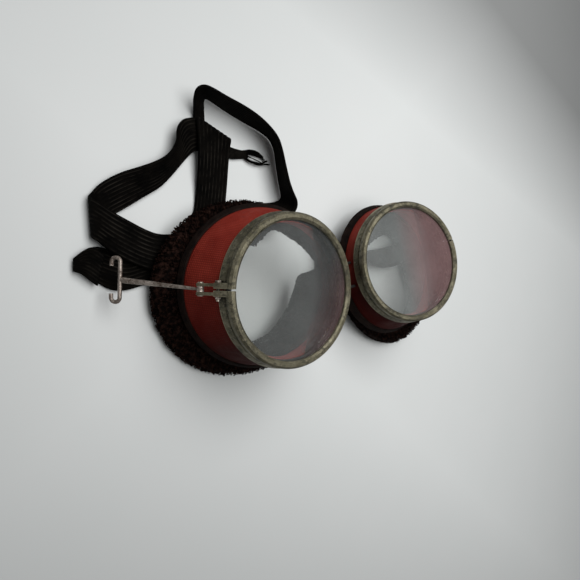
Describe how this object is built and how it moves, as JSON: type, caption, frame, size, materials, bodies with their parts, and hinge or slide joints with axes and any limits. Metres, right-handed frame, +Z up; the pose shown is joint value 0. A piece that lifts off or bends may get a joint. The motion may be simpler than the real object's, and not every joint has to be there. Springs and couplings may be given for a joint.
{
  "type": "aviator flying goggles",
  "caption": "Round-lens flying goggles: clamped metal rims, red side walls, fluffy eye pads, wire side hooks, nose tab and a loose elastic strap.",
  "frame": {"origin": "centre of the base of the box round the goggles without their strap, on the surface they rest on", "axes": "+X from the cup with the loose strap to the other cup, +Z up, out of the lenses, +Y to the side where the strap lies"},
  "size_m": [0.1815, 0.1175, 0.0381],
  "materials": {
    "aged_nickel_brass": "worn nickel over brass, dull with brown spots",
    "aged_steel": "dull, a little rusty",
    "steel_wire": "drawn wire with brown tarnish",
    "lens_glass": "clear, scratched and a little hazy",
    "fibre_washer": "matt black fibre",
    "dark_metal": "dark grey metal, dull",
    "red_oilcloth": "fine-grained red coated cloth",
    "brown_tape": "ribbed dark brown woven tape",
    "brown_chenille": "thick curly dark red-brown pile",
    "brown_leather": "worn dark brown leather",
    "black_webbing": "ribbed black-brown elastic webbing"
  },
  "bodies": {
    "left_cup": {"left_rim": "aged_nickel_brass", "left_clamp_screw": "aged_steel", "left_clamp_nut": "aged_steel", "left_hook_pin": "aged_steel", "left_lens": "lens_glass", "left_gasket": "fibre_washer", "left_collar": "dark_metal", "left_side": "red_oilcloth", "left_binding": "brown_tape", "left_pad": "brown_chenille", "left_nose_loop": "steel_wire", "strap": "black_webbing"},
    "left_hook": {"left_hook": "steel_wire"},
    "nose_tab": {"nose_tab": "brown_leather"},
    "right_cup": {"right_rim": "aged_nickel_brass", "right_clamp_screw": "aged_steel", "right_clamp_nut": "aged_steel", "right_hook_pin": "aged_steel", "right_lens": "lens_glass", "right_gasket": "fibre_washer", "right_collar": "dark_metal", "right_side": "red_oilcloth", "right_binding": "brown_tape", "right_pad": "brown_chenille", "right_nose_loop": "steel_wire"},
    "right_hook": {"right_hook": "steel_wire"}
  },
  "joints": [
    {"name": "left_hook_swing", "type": "hinge", "parent": "left_cup", "child": "left_hook", "pos_m": [-0.06624, 0.01078, 0.02941], "axis": [0.194, 0.9803, 0.038], "range_deg": [-5, 110]},
    {"name": "right_hook_swing", "type": "hinge", "parent": "right_cup", "child": "right_hook", "pos_m": [0.06499, 0.01125, 0.02883], "axis": [0.2195, -0.9661, 0.1359], "range_deg": [0, 110]},
    {"name": "nose_tab_left_pivot", "type": "hinge", "parent": "left_cup", "child": "nose_tab", "pos_m": [-0.00517, 0.00541, 0.02787], "axis": [0.0212, -0.9989, -0.0428], "range_deg": [0, 25]},
    {"name": "nose_tab_right_pivot", "type": "hinge", "parent": "nose_tab", "child": "right_cup", "pos_m": [0.0054, 0.00281, 0.01706], "axis": [0.0095, -0.9954, 0.0949], "range_deg": [0, 55]}
  ]
}
